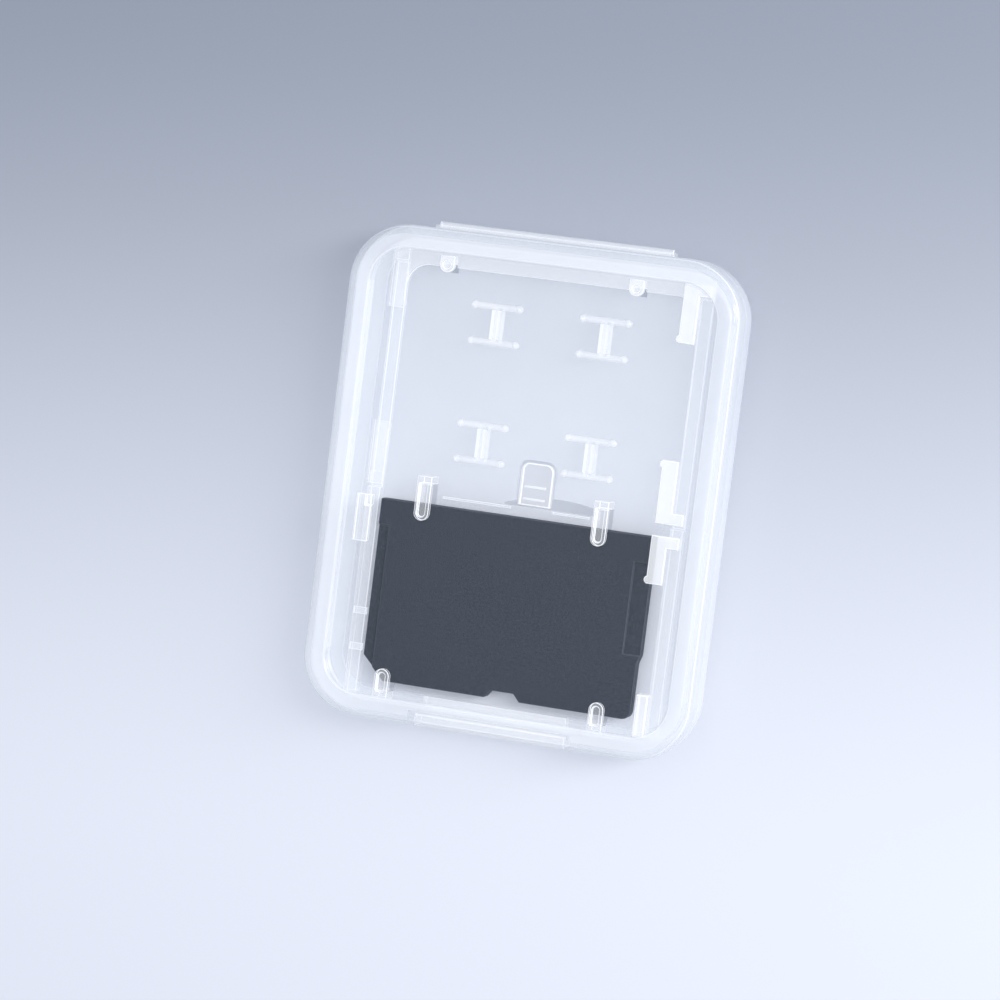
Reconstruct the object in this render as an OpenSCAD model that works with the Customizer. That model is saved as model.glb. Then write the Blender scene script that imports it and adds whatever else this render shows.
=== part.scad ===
// Pocket case for small memory cards: two moulded half shells on a film hinge, closed by a
// snap tab. One bay in the rear half holds a wide card under six fingers, and three small
// bays above it are parted by four I-shaped posts.
// Frame: the case lies on its back. X is its width, Y runs from the latch to the hinge and
// Z comes out of the front. The origin is the middle of the whole box, hinge included, on
// the plane that the case lies on. latch_y and top_y are the outer faces of its two ends.

/* [Case] */
// Thickness of the closed case
case_t = 7; // [6.6:0.1:9]
// Distance from the case's side to the rail of the bays
side_room = 4; // [3.6:0.05:5]
// Outer radius of the four corners
corner_r = 6.5; // [5.5:0.1:7]
// Rounding of the outer long edges
edge_r = 1; // [0.5:0.05:1.3]
// Thickness of the side walls
wall_t = 1.2; // [0.9:0.05:1.3]
// Width of the raised rim round each window
rim_w = 2.6; // [2.4:0.05:3]
// Depth of each window below its rim
recess_d = 0.8; // [0.5:0.05:1]
// Thickness of each window
panel_t = 1; // [0.8:0.05:1.1]

/* [Closing lip] */
// Height of the lip above the parting plane
lip_h = 0.7; // [0.4:0.05:1.1]
// Thickness of the lip
lip_t = 0.5; // [0.4:0.05:0.7]
// Clearance between the lip and the front shell
lip_gap = 0.15; // [0.1:0.01:0.25]

/* [Hinge] */
// Length of the film hinge
hinge_l = 26.2; // [18:0.1:28]
// Radius of the bead that the folded film makes
bead_r = 0.36; // [0.3:0.01:0.45]
// Height of each hinge leaf from the parting plane
leaf_h = 1.9; // [1:0.1:2.3]
// Clearance of the turning leaf
leaf_gap = 0.06; // [0.04:0.01:0.1]

/* [Latch] */
// Width of the gap in the rim that the tab fills
latch_gap_w = 18.4; // [14:0.1:20]
// Clearance at each side of the snap tab
latch_side = 0.7; // [0.3:0.05:1]
// Thickness of the snap tab
latch_t = 0.95; // [0.7:0.05:1]
// Height of the snap tab above the parting plane
latch_h = 3; // [2.7:0.05:3.2]
// Height of the tab's head, which fills the gap seen from the front
head_h = 0.7; // [0.5:0.05:0.9]
// Depth of the gap in the rim
latch_gap_d = 1.7; // [1.65:0.05:2]
// Thickness of the keeper bar behind the gap
keeper_t = 1.55; // [1:0.05:2]
// Depth of the keeper's bead towards the tab
bead_h = 0.2; // [0.1:0.05:0.25]
// Clearance at which the tab passes the bead
snap_gap = 0.05; // [0.03:0.01:0.1]

/* [Card bay] */
// Length of the card along the case's width
card_l = 31; // [29:0.1:33]
// Width of the card
card_w = 20; // [19:0.1:22]
// Thickness of the card
card_t = 1.6; // [1.2:0.05:1.7]
// Thickness of the card's front cover
card_cover_t = 0.7; // [0.5:0.05:0.75]
// Corner cut of the card
card_cut = 2.6; // [1:0.1:3]
// Middle of the card from the case's middle line
card_x = -0.55; // [-0.65:0.01:0]
// Room at each side of the card when it lies in the middle
card_side = 0.9; // [0.8:0.05:1.2]
// Room below the card
card_below = 1.75; // [1.5:0.05:2]
// Room above the card
card_above = 0.75; // [0.6:0.05:1]
// Distance from the latch side to the bay
bay_low = 2.15; // [2.05:0.05:2.6]
// Height of the rests under the card
rest_h = 0.15; // [0.1:0.01:0.25]
// Distance from the bay's ends to the rests
rest_in = 5; // [4:0.1:6]
// Clearance between the card and what holds it
card_gap = 0.1; // [0.05:0.01:0.15]
// Length of the wall in the lower right corner
stop_l = 4.7; // [4:0.1:6]
// Distance between the two bars in the lower left corner
stop_pitch = 4; // [3:0.1:5]

/* [Fingers and hooks] */
// Width of a finger
finger_w = 1.65; // [1.2:0.05:2]
// Thickness of a finger
finger_t = 0.8; // [0.5:0.05:0.9]
// Thickness of the leg that carries a finger
leg_t = 0.9; // [0.6:0.05:1]
// Distance from the card's ends to the middle fingers
middle_in = 5.5; // [5:0.1:6.5]
// Distance from the card's ends to the lower fingers
lower_in = 3.3; // [2.9:0.1:4.5]
// Distance from the card's ends to the top fingers
top_in = 4.85; // [4:0.05:6]
// Middle between the fingers from the card's middle
finger_shift = -0.6; // [-0.7:0.05:0]
// Length of the middle fingers
middle_finger_l = 4.9; // [4.4:0.1:5.2]
// How far the middle fingers reach over the bay
middle_reach = 2.55; // [1.9:0.05:3]
// Length of the lower fingers
lower_finger_l = 3.4; // [3:0.1:3.8]
// Length of the top fingers
top_finger_l = 1.8; // [1.7:0.05:2.1]
// How far the top fingers reach past the top ledge
top_reach = 0.55; // [0.3:0.05:0.7]
// Width of a side hook
hook_w = 1.8; // [1.4:0.05:2]
// Thickness of a side hook
hook_t = 0.7; // [0.5:0.05:0.8]
// How far a hook's nose stands out
nose_r = 0.45; // [0.3:0.05:0.5]
// Clearance under the free arm of a hook
hook_lift = 0.35; // [0.2:0.05:0.5]
// Gap between the card's left end and the left hooks
hook_left_gap = 0.15; // [0.05:0.01:0.3]
// How far the right hooks reach over the card
hook_over = 0.25; // [0.1:0.05:0.4]
// Length of the upper hooks
upper_hook_l = 6.5; // [5:0.1:7]
// Length of the middle hooks
middle_hook_l = 6.9; // [5:0.1:7.5]
// Length of the hook beside the card
card_hook_l = 5.3; // [4:0.1:6]

/* [Small bays] */
// Width of the small cards
small_card_w = 11; // [10:0.1:11.6]
// Thickness of the small cards
small_card_t = 1; // [0.8:0.05:1.1]
// Clearance beside and over a small card
small_gap = 0.15; // [0.1:0.01:0.25]
// Middle between the posts from the case's middle line
posts_x = 0.45; // [0.2:0.05:0.7]
// Distance from the wide bay to the middle of the lower posts
row_gap = 6.65; // [6.4:0.05:8]
// Distance between the two rows of posts
row_pitch = 13; // [12:0.1:15]
// Distance from the middle of the upper posts to the top ledge
top_room = 5.55; // [5:0.05:7]
// Width of a post's flanges
flange_w = 6; // [4:0.1:6.6]
// Distance between the two flanges of a post
flange_gap = 3.9; // [3:0.1:4.4]
// Thickness of a post's web
web_t = 1.05; // [0.8:0.05:1.4]
// Radius of a flange
flange_r = 0.34; // [0.25:0.01:0.4]
// Width of the side rails
rail_w = 1.5; // [1.3:0.05:1.8]
// Distance from the hinge side to the top ledge
ledge_in = 4.15; // [4:0.05:4.4]
// Height of the top ledge above the floor
ledge_h = 0.7; // [0.5:0.05:0.9]
// Radius of the ledge's inner corners
ledge_r = 2.4; // [1:0.1:3]

/* [Release tongue] */
// Width of the tongue
tongue_w = 3.7; // [3:0.1:4]
// Length of the tongue
tongue_l = 4.9; // [4:0.1:5.2]
// Width of the slot round the tongue
slot_w = 0.3; // [0.2:0.02:0.4]
// Middle of the tongue from the case's middle line
tongue_x = 0.65; // [0:0.05:1]
// Reach of the thumb opening to the left of the tongue's middle
thumb_left_w = 3.95; // [3:0.05:4.5]
// Reach of the thumb opening to the right of the tongue's middle
thumb_right_w = 6.95; // [4:0.05:7.1]
// Height of the thumb opening
thumb_h = 1.3; // [0.8:0.05:1.4]
// Radius of the thumb opening's edge
thumb_r = 18.5; // [14:0.5:24]

/* [Hidden] */
$fn = 48;
eps = 0.01;

// The case's width and length follow from the cards and the bays
bay_w = card_l + 2 * card_side;
bay_l = card_below + card_w + card_above;
case_w = bay_w + 2 * (rail_w + side_room);
case_l = bay_low + bay_l + row_gap + row_pitch + top_room + ledge_in;
mid_z = case_t / 2;
bead_gap = 0.02;
mid_y = -(2 * bead_r + bead_gap) / 2;
latch_y = mid_y - case_l / 2;
top_y = mid_y + case_l / 2;
hinge_y = top_y + bead_gap + bead_r;
floor_z = recess_d + panel_t;
ceiling_z = case_t - floor_z;

// Plan of the corners, shared by every outline that follows the case
core_w = case_w - 2 * corner_r;
core_l = case_l - 2 * corner_r;

// The wide bay and its card
bay_bottom = latch_y + bay_low;
bay_top = bay_bottom + bay_l;
rail_in = bay_w / 2;
rail_out = rail_in + rail_w;
card_x0 = card_x - card_l / 2;
card_x1 = card_x + card_l / 2;
card_y0 = bay_bottom + card_below;
card_z = floor_z + rest_h;
card_top = card_z + card_t;
cover_split = card_top - card_cover_t;

// Undersides of what holds the wide card and of what holds the small ones
finger_z = card_top + card_gap;
small_top = floor_z + small_card_t + small_gap;

// Fingers: the middle and half the span of each pair, and each leg's back and tip
finger_x = card_x + finger_shift;
middle_half = card_l / 2 - middle_in;
lower_half = card_l / 2 - lower_in;
top_half = card_l / 2 - top_in;
ledge_y = top_y - ledge_in;
top_wall_y = top_y - wall_t;
middle_tip = bay_top - middle_reach;
middle_back = middle_tip + middle_finger_l;
lower_back = bay_bottom - 0.2;
lower_tip = lower_back + lower_finger_l;
top_tip = ledge_y - top_reach;
top_back = top_tip + top_finger_l;

// Latch: the free height at the tab's root, the level where tab and bead pass, and the
// depth that the tab may take
tab_root = 0.12;
snap_z = mid_z + 1.15;
tab_in = latch_gap_d - bead_h - snap_gap;
latch_w = latch_gap_w - 2 * latch_side;

// Side rails, lower beside the small bays, and the ends of the hooks, root first
rail_top = finger_z - hook_lift;
low_rail_top = small_top - hook_lift;
rail_step_y = bay_top + 0.4;
hook_left = card_x0 - hook_left_gap;
hook_right = card_x1 - hook_over;
hook_foot = 1.3;
upper_hook = [ledge_y + 1.55, ledge_y + 1.55 - upper_hook_l];
middle_hook = [bay_top + 0.75, bay_top + 0.75 + middle_hook_l];
card_hook = [bay_top - 0.45, bay_top - 0.45 - card_hook_l];

// Posts: their pitch follows from the small card between two webs
post_pitch = small_card_w + small_gap + web_t;
row_low = bay_top + row_gap;
row_high = row_low + row_pitch;

// Release tongue in the rear window
tongue_low = bay_top + 0.35;
tongue_gap = 0.12;

// Clear and frosted plastic, and the dark card
clear = [0.86, 0.89, 0.94, 0.45];
frost = [0.9, 0.92, 0.96, 0.7];
slate = [0.28, 0.31, 0.37];
gold = [0.8, 0.65, 0.35];

// Points of a quarter round about c, from angle a to angle b
function arc(c, r, a, b, n = 6) =
  [for (i = [0:n]) c + r * [cos(a + (b - a) * i / n), sin(a + (b - a) * i / n)]];

// Section of the rear shell's wall and rim: first value inward, second up from the back
function wall_section() = concat(
  [[0, mid_z]],
  arc([edge_r, edge_r], edge_r, 180, 270),
  [[rim_w - 0.3, 0]],
  arc([rim_w - 0.3, 0.3], 0.3, -90, 0, 3),
  [[rim_w + 0.15, recess_d], [rim_w + 0.15, floor_z]],
  [[wall_t + 0.25, floor_z], [wall_t, floor_z + 0.25], [wall_t, mid_z]]
);

// A section swept round the case's outline, its first value measured inward
module sweep(section) {
  for (x = [-1, 1], y = [-1, 1])
    translate([x * core_w / 2, mid_y + y * core_l / 2])
      rotate(y > 0 ? (x > 0 ? 0 : 90) : (x > 0 ? 270 : 180))
        rotate_extrude(angle = 90)
          polygon([for (p = section) [corner_r - p[0], p[1]]]);
  for (x = [-1, 1])
    translate([x * core_w / 2, mid_y, 0])
      rotate(x > 0 ? 0 : 180)
        straight(section, core_l);
  for (y = [-1, 1])
    translate([0, mid_y + y * core_l / 2, 0])
      rotate(y > 0 ? 90 : 270)
        straight(section, core_w);
}

// The same section along a straight side that faces +X
module straight(section, length) {
  translate([0, length / 2, 0])
    rotate([90, 0, 0])
      linear_extrude(length)
        polygon([for (p = section) [corner_r - p[0], p[1]]]);
}

// A slab with the case's outline drawn in by inset
module inset_slab(inset, z0, z1) {
  r = corner_r - inset;
  translate([0, mid_y, z0])
    linear_extrude(z1 - z0) {
      square([core_w, core_l + 2 * r], center = true);
      square([core_w + 2 * r, core_l], center = true);
      for (x = [-1, 1], y = [-1, 1])
        translate([x * core_w / 2, y * core_l / 2]) circle(r);
    }
}

// A box between two corners
module block(a, b) {
  translate(a) cube(b - a);
}

// One half of the case, lying on its window
module half_shell() {
  sweep(wall_section());
  inset_slab(rim_w - 0.2, recess_d, floor_z);
}

// A half shell turned over onto the parting plane
module turned_over() {
  translate([0, 0, case_t]) mirror([0, 0, 1]) children();
}

// Rear half: it has the thumb opening, the slot of the tongue and a window under each finger
module rear_shell() {
  color(frost)
    difference() {
      half_shell();
      thumb_opening();
      tongue_slot();
      for (side = [-1, 1]) {
        finger_window(finger_x + side * middle_half, middle_back, middle_tip);
        finger_window(finger_x + side * lower_half, lower_back, lower_tip);
        finger_window(finger_x + side * top_half, top_back, top_tip);
      }
    }
}

// Window that lets a finger be moulded, through the floor between its leg and its tip
module finger_window(x, back, tip) {
  leg = back + sign(tip - back) * leg_t;
  block([x - finger_w / 2, min(leg, tip), recess_d - eps],
        [x + finger_w / 2, max(leg, tip), floor_z + ledge_h + eps]);
}

// Crescent behind the card's upper edge, for a fingertip: a flat arch that the tongue parts
module thumb_opening() {
  left = tongue_x - thumb_left_w;
  right = tongue_x + thumb_right_w;
  crest = tongue_x + 0.42 * thumb_right_w;
  intersection() {
    translate([crest, tongue_low + thumb_h - thumb_r, recess_d - eps])
      cylinder(r = thumb_r, h = panel_t + 2 * eps, $fn = 96);
    block([left, tongue_low, 0], [right, tongue_low + thumb_h, floor_z + 1]);
  }
}

// Room for the tongue and its slot
module tongue_slot() {
  r = tongue_w / 2 + slot_w;
  translate([tongue_x, 0, recess_d - eps])
    linear_extrude(panel_t + 2 * eps) {
      translate([-r, tongue_low]) square([2 * r, tongue_l + slot_w - r]);
      translate([0, tongue_low + tongue_l + slot_w - r]) circle(r);
    }
}

// Front half: the same moulding with a gap in its rim for the snap tab
module front_shell() {
  color(clear)
    difference() {
      turned_over() half_shell();
      block([-latch_gap_w / 2, latch_y - 1, mid_z - 1],
            [latch_gap_w / 2, latch_y + latch_gap_d, case_t + 1]);
    }
}

// Lip inside the two long walls of the rear half, which keeps the halves in line
module closing_lip() {
  in0 = wall_t;
  in1 = wall_t + lip_gap;
  in2 = in1 + lip_t;
  section = [
    [in0, mid_z - 0.9], [in2, mid_z - 0.9], [in2, mid_z + lip_h],
    [in1, mid_z + lip_h], [in1, mid_z], [in0, mid_z]
  ];
  color(frost)
    for (x = [-1, 1])
      translate([x * core_w / 2, mid_y, 0])
        rotate(x > 0 ? 0 : 180)
          straight(section, core_l);
}

// Bead of the folded film hinge, on the turning axis
module hinge_bead() {
  color(clear)
    translate([-hinge_l / 2, hinge_y, mid_z])
      rotate([0, 90, 0])
        cylinder(r = bead_r, h = hinge_l);
}

// Leaf that joins the bead to the rear half
module rear_hinge_leaf() {
  color(clear)
    difference() {
      block([-hinge_l / 2, top_y, mid_z - leaf_h], [hinge_l / 2, hinge_y, mid_z - 0.08]);
      hinge_room(bead_r);
    }
}

// Leaf that turns with the front half, clear of the bead
module front_hinge_leaf() {
  color(clear)
    difference() {
      block([-hinge_l / 2, top_y, mid_z + 0.1],
            [hinge_l / 2, hinge_y - leaf_gap, mid_z + leaf_h]);
      hinge_room(bead_r + leaf_gap);
    }
}

// Round room about the turning axis
module hinge_room(r) {
  translate([-hinge_l / 2 - 1, hinge_y, mid_z])
    rotate([0, 90, 0])
      cylinder(r = r, h = hinge_l + 2);
}

// A section of the latch, its first value inward from the latch side, drawn along X
module latch_bar(width, section) {
  translate([-width / 2, latch_y, 0])
    rotate([90, 0, 90])
      linear_extrude(width)
        polygon(section);
}

// Snap tab that stands up from the rear half; its head fills the gap of the front rim
module latch_tab() {
  top = mid_z + latch_h;
  color(clear)
    latch_bar(latch_w, concat(
      [[0.1, mid_z + tab_root], [latch_t, mid_z + tab_root], [latch_t, top - head_h - 0.2]],
      [[tab_in, top - head_h], [tab_in, top - 0.15], [tab_in - 0.15, top]],
      arc([0.5, top - 0.5], 0.5, 90, 180),
      [[0, mid_z + 0.3]]
    ));
}

// Rib on the inner face of the tab, which holds the keeper's bead down
module latch_rib() {
  color(clear)
    latch_bar(latch_w - 2.4, [
      [latch_t, snap_z + 0.05], [tab_in, snap_z + 0.15],
      [tab_in, snap_z + 0.3], [latch_t, snap_z + 0.55]
    ]);
}

// Keeper bar inside the front half, behind the gap, with the bead that the rib holds down
module latch_keeper() {
  y0 = latch_gap_d;
  y1 = y0 + keeper_t;
  color(clear)
    latch_bar(latch_w - 0.8, [
      [y0, mid_z + 0.25], [y1, mid_z + 0.25], [y1, ceiling_z], [y0, ceiling_z],
      [y0, snap_z], [y0 - bead_h, snap_z - 0.1], [y0 - bead_h, snap_z - 0.25],
      [y0, snap_z - 0.55]
    ]);
}

// Side rail of the bays, which the hooks stand on
module rail(side) {
  color(frost)
    difference() {
      mirror([side < 0 ? 1 : 0, 0, 0]) {
        block([rail_in, bay_bottom, floor_z], [rail_out, rail_step_y, rail_top]);
        block([rail_in, rail_step_y - eps, floor_z], [rail_out, ledge_y, low_rail_top]);
      }
      inset_cut();
    }
}

// Raised ledge between the hinge wall and the small bays, with round inner corners
module top_ledge() {
  color(frost)
    difference() {
      translate([0, 0, floor_z])
        linear_extrude(ledge_h) {
          translate([-rail_out, ledge_y]) square([2 * rail_out, top_wall_y - ledge_y]);
          for (side = [-1, 1])
            difference() {
              translate([side * (rail_in - ledge_r / 2), ledge_y - ledge_r / 2])
                square(ledge_r, center = true);
              translate([side * (rail_in - ledge_r), ledge_y - ledge_r]) circle(ledge_r);
            }
        }
      inset_cut();
      for (side = [-1, 1]) finger_window(finger_x + side * top_half, top_back, top_tip);
    }
}

// Everything outside the inner face of the wall and its foot
module inset_cut() {
  difference() {
    translate([0, 0, case_t / 2]) cube([2 * case_w, 2 * case_l, 2 * case_t], center = true);
    inset_slab(wall_t + 0.27, -case_t, 2 * case_t);
  }
}

// Low bars above the bay, on either side of the tongue, which the card's edge meets
module middle_ledge() {
  clear_x = tongue_w / 2 + slot_w + 0.2;
  left_end = finger_x - middle_half + finger_w;
  right_end = finger_x + middle_half - finger_w;
  color(frost) {
    block([left_end, bay_top, floor_z], [tongue_x - clear_x, bay_top + 0.3, floor_z + ledge_h]);
    block([tongue_x + clear_x, bay_top, floor_z], [right_end, bay_top + 0.3, floor_z + ledge_h]);
  }
}

// Two low ribs that the card lies on
module card_rests() {
  color(frost)
    for (y = [bay_bottom + rest_in, bay_top - rest_in])
      block([card_x0 + 2, y - 0.4, floor_z], [card_x1 - 2, y + 0.4, card_z]);
}

// I-shaped post: a web that stands on the floor and two round flanges with ball ends
module post(side, row) {
  half = flange_gap / 2;
  ball_r = flange_r + 0.06;
  flange_h = small_top - floor_z + ball_r;
  color(clear)
    translate([posts_x + side * post_pitch / 2, row, floor_z]) {
      for (y = [-half, half])
        translate([0, y, flange_h]) {
          translate([-flange_w / 2 + flange_r, 0, 0])
            rotate([0, 90, 0])
              cylinder(r = flange_r, h = flange_w - 2 * flange_r);
          for (end = [-1, 1])
            translate([end * (flange_w / 2 - flange_r), 0, 0]) sphere(ball_r);
        }
      block([-web_t / 2, -half, 0], [web_t / 2, half, flange_h + 0.2]);
    }
}

// Finger: a leg that stands at foot, and a prong from it to a round tip, with a sunk face;
// under is the height of the prong's underside
module finger(x, back, tip, foot, under) {
  r = finger_w / 2;
  dir = sign(tip - back);
  round_y = tip - dir * r;
  leg_y = back + dir * leg_t;
  color(clear)
    difference() {
      union() {
        block([x - r, min(back, leg_y), foot], [x + r, max(back, leg_y), under + finger_t]);
        translate([0, 0, under])
          linear_extrude(finger_t) {
            translate([x - r, min(back, round_y)]) square([2 * r, abs(round_y - back)]);
            translate([x, round_y]) circle(r);
          }
      }
      translate([0, 0, under + finger_t - 0.3])
        linear_extrude(finger_t) {
          translate([x - r / 2, min(leg_y, round_y)]) square([r, abs(round_y - leg_y)]);
          translate([x, round_y]) circle(r / 2);
        }
    }
}
module top_finger(side) {
  finger(finger_x + side * top_half, top_back, top_tip, floor_z + ledge_h, small_top);
}
module middle_finger(side) {
  finger(finger_x + side * middle_half, middle_back, middle_tip, floor_z, finger_z);
}
module lower_finger(side) {
  finger(finger_x + side * lower_half, lower_back, lower_tip, floor_z, finger_z);
}

// Side hook: an arm over the bay's edge with a round nose at its free end, and a foot at
// its root that stands on the rail or the ledge, whose top is at stand
module hook(inner, side, ends, stand, under) {
  dir = sign(ends[1] - ends[0]);
  foot_y = ends[0] + dir * hook_foot;
  nose_y = ends[1] - dir * nose_r;
  foot_x0 = side * (rail_in + 0.1);
  foot_x1 = side * (rail_out - 0.1);
  color(clear) {
    slab([inner, ends[0]], [inner + side * hook_w, ends[1]], under, under + hook_t);
    slab([inner, ends[0]], [foot_x1, foot_y], under, under + hook_t);
    slab([foot_x0, ends[0]], [foot_x1, foot_y], stand, under + eps);
    translate([inner + side * nose_r * 0.4, nose_y, under])
      cylinder(r = nose_r, h = hook_t);
  }
}

// Plain arm on the left of the card, over its rail
module card_guide_left() {
  x0 = -(rail_out - 0.1);
  color(clear) {
    slab([x0 - hook_w / 2, card_hook[0]], [x0 + hook_w / 2, card_hook[1]],
         finger_z, finger_z + hook_t);
    slab([x0, card_hook[0]], [x0 + hook_w / 2, card_hook[0] - hook_foot],
         rail_top, finger_z + eps);
  }
}

// A box between two corners of its plan, in either order, and two heights
module slab(a, b, z0, z1) {
  block([min(a[0], b[0]), min(a[1], b[1]), z0], [max(a[0], b[0]), max(a[1], b[1]), z1]);
}

// Frame in the lower left corner: two bars on the rail that reach to the card
module corner_stop_left() {
  low = card_y0 + 3;
  color(frost)
    for (y = [low, low + stop_pitch])
      block([0.2 - rail_out, y, rail_top], [card_x0 - card_gap, y + 0.8, rail_top + hook_lift]);
}

// Wall in the lower right corner, beside the card
module corner_stop_right() {
  color(frost)
    block([card_x1 + card_gap, bay_bottom, floor_z],
          [rail_in, bay_bottom + stop_l, rail_top + 0.2]);
}

// Sprung tongue in the rear window, free at its round end
module release_tongue() {
  r = tongue_w / 2;
  y0 = tongue_low + tongue_gap;
  color(clear)
    translate([tongue_x, 0, recess_d])
      linear_extrude(panel_t) {
        translate([-r, y0]) square([2 * r, tongue_low + tongue_l - r - y0]);
        translate([0, tongue_low + tongue_l - r]) circle(r);
      }
}

// Outline of the card: a cut corner, a notch in the lower edge and a stepped right side
module card_outline() {
  y1 = card_y0 + card_w;
  notch = card_x - 1.2;
  polygon(concat(
    [[card_x0 + card_cut, card_y0], [notch, card_y0], [notch + 0.6, card_y0 + 0.85]],
    [[notch + 3.2, card_y0 + 0.85], [notch + 3.95, card_y0]],
    arc([card_x1 - 1.2, card_y0 + 0.9], 0.9, -90, 0, 4),
    [[card_x1 - 0.3, card_y0 + 6.1], [card_x1, card_y0 + 7], [card_x1, y1]],
    [[card_x0, y1], [card_x0, card_y0 + card_cut]]
  ));
}

// Front cover of the card, with a groove along each short side
module card_front_cover() {
  groove_top = card_y0 + card_w - 2.9;
  groove_z = card_top - 0.3;
  color(slate)
    difference() {
      translate([0, 0, cover_split]) linear_extrude(card_cover_t) card_outline();
      block([card_x0 - 1, card_y0 - 1, groove_z], [card_x0 + 1.2, groove_top, card_top + 1]);
      block([card_x1 - 1.95, card_y0 + 7, groove_z], [card_x1 + 1, groove_top, card_top + 1]);
    }
}

// Back cover of the card, with the recess of its contacts
module card_back_cover() {
  color(slate)
    difference() {
      translate([0, 0, card_z]) linear_extrude(cover_split - card_z) card_outline();
      contact_row(card_z - eps, card_z + 0.2);
    }
}

// Ten fields in a row along the card's left end
module contact_row(z0, z1) {
  first = 2.9;
  field = [3.6, 1.1, z1 - z0];
  pitch = (card_w - 2 * first - field[1]) / 9;
  for (i = [0:9])
    translate([card_x0 + 1.4, card_y0 + first + i * pitch, z0]) cube(field);
}

// Contacts in the recesses of the back cover
module card_contacts() {
  color(gold) contact_row(card_z + 0.1, card_z + 0.2);
}

rear_shell();
front_shell();
closing_lip();
hinge_bead();
rear_hinge_leaf();
front_hinge_leaf();
latch_tab();
latch_rib();
latch_keeper();
rail(-1);  // left_rail
rail(1);  // right_rail
top_ledge();
middle_ledge();
card_rests();
post(-1, row_high);  // post_upper_left
post(1, row_high);  // post_upper_right
post(-1, row_low);  // post_lower_left
post(1, row_low);  // post_lower_right
top_finger(-1);  // top_finger_left
top_finger(1);  // top_finger_right
middle_finger(-1);  // middle_finger_left
middle_finger(1);  // middle_finger_right
lower_finger(-1);  // lower_finger_left
lower_finger(1);  // lower_finger_right
hook(hook_left, -1, upper_hook, floor_z + ledge_h, small_top);  // upper_hook_left
hook(hook_right, 1, upper_hook, floor_z + ledge_h, small_top);  // upper_hook_right
hook(hook_left, -1, middle_hook, low_rail_top, small_top);  // middle_hook_left
hook(hook_right, 1, middle_hook, low_rail_top, small_top);  // middle_hook_right
card_guide_left();
hook(hook_right, 1, card_hook, rail_top, finger_z);  // card_hook_right
corner_stop_left();
corner_stop_right();
release_tongue();
card_front_cover();
card_back_cover();
card_contacts();
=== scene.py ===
"""Looks of a pocket case for memory cards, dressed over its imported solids.

The case lies on its back: X is its width, Y runs from the snap tab to the hinge and Z comes
out of the front. Sizes are in millimetres in the classes and become metres in the meshes.
"""

from __future__ import annotations

import logging
import math
from dataclasses import KW_ONLY, dataclass, field
from enum import Enum
from typing import Iterable, Union

import bmesh
import bpy
from mathutils import Matrix, Vector

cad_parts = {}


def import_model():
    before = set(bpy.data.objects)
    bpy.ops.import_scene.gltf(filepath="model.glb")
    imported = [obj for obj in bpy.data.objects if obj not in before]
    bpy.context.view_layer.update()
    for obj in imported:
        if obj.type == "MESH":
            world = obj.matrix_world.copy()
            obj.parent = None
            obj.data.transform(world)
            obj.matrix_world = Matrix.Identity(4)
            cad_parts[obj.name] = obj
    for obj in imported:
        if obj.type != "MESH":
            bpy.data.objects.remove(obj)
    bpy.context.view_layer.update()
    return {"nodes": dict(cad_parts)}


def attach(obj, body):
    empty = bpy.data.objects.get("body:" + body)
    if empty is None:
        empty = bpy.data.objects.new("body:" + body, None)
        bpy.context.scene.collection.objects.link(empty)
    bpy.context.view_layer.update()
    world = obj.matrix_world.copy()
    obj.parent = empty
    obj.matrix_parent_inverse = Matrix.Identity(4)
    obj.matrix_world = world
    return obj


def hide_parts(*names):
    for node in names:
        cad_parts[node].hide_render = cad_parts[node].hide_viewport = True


LOG = logging.getLogger("card_case")
MM = 0.001
# Face attribute of milkiness. It also carries painted highlights: a strip on the shells' outer
# round and the card's paler edges.
MILK = "milk"
BEVEL_STEPS = 3
SHARP_DEG = 32.0
TOUCH = 1e-6
ARC_POINTS = 41
Point = tuple[float, float]
Triple = tuple[float, float, float]
Colour = tuple[float, float, float, float]
Node = bpy.types.Node
Thing = bpy.types.Object
Material = bpy.types.Material
Outlet = Union[bpy.types.NodeSocket, Node]


class Body(Enum):
    """Rigid bodies of the case."""

    TRAY = "tray"
    LID = "lid"
    LATCH = "latch"
    TONGUE = "tongue"
    CARD = "card"


class Slot(Enum):
    """Material slots of the record."""

    FROSTED = "frosted_plastic"
    CLEAR = "clear_plastic"
    CARD = "card_plastic"
    METAL = "contact_metal"


# --------------------------------------------------------------------------- shader tools


def inlet(node: Node, name: str) -> bpy.types.NodeSocket:
    """Find the first input of that name that is in use."""
    return next(s for s in node.inputs if s.name == name and s.enabled)


def outlet(node: Node, name: str) -> bpy.types.NodeSocket:
    """Find the first output of that name that is in use."""
    return next(s for s in node.outputs if s.name == name and s.enabled)


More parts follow.
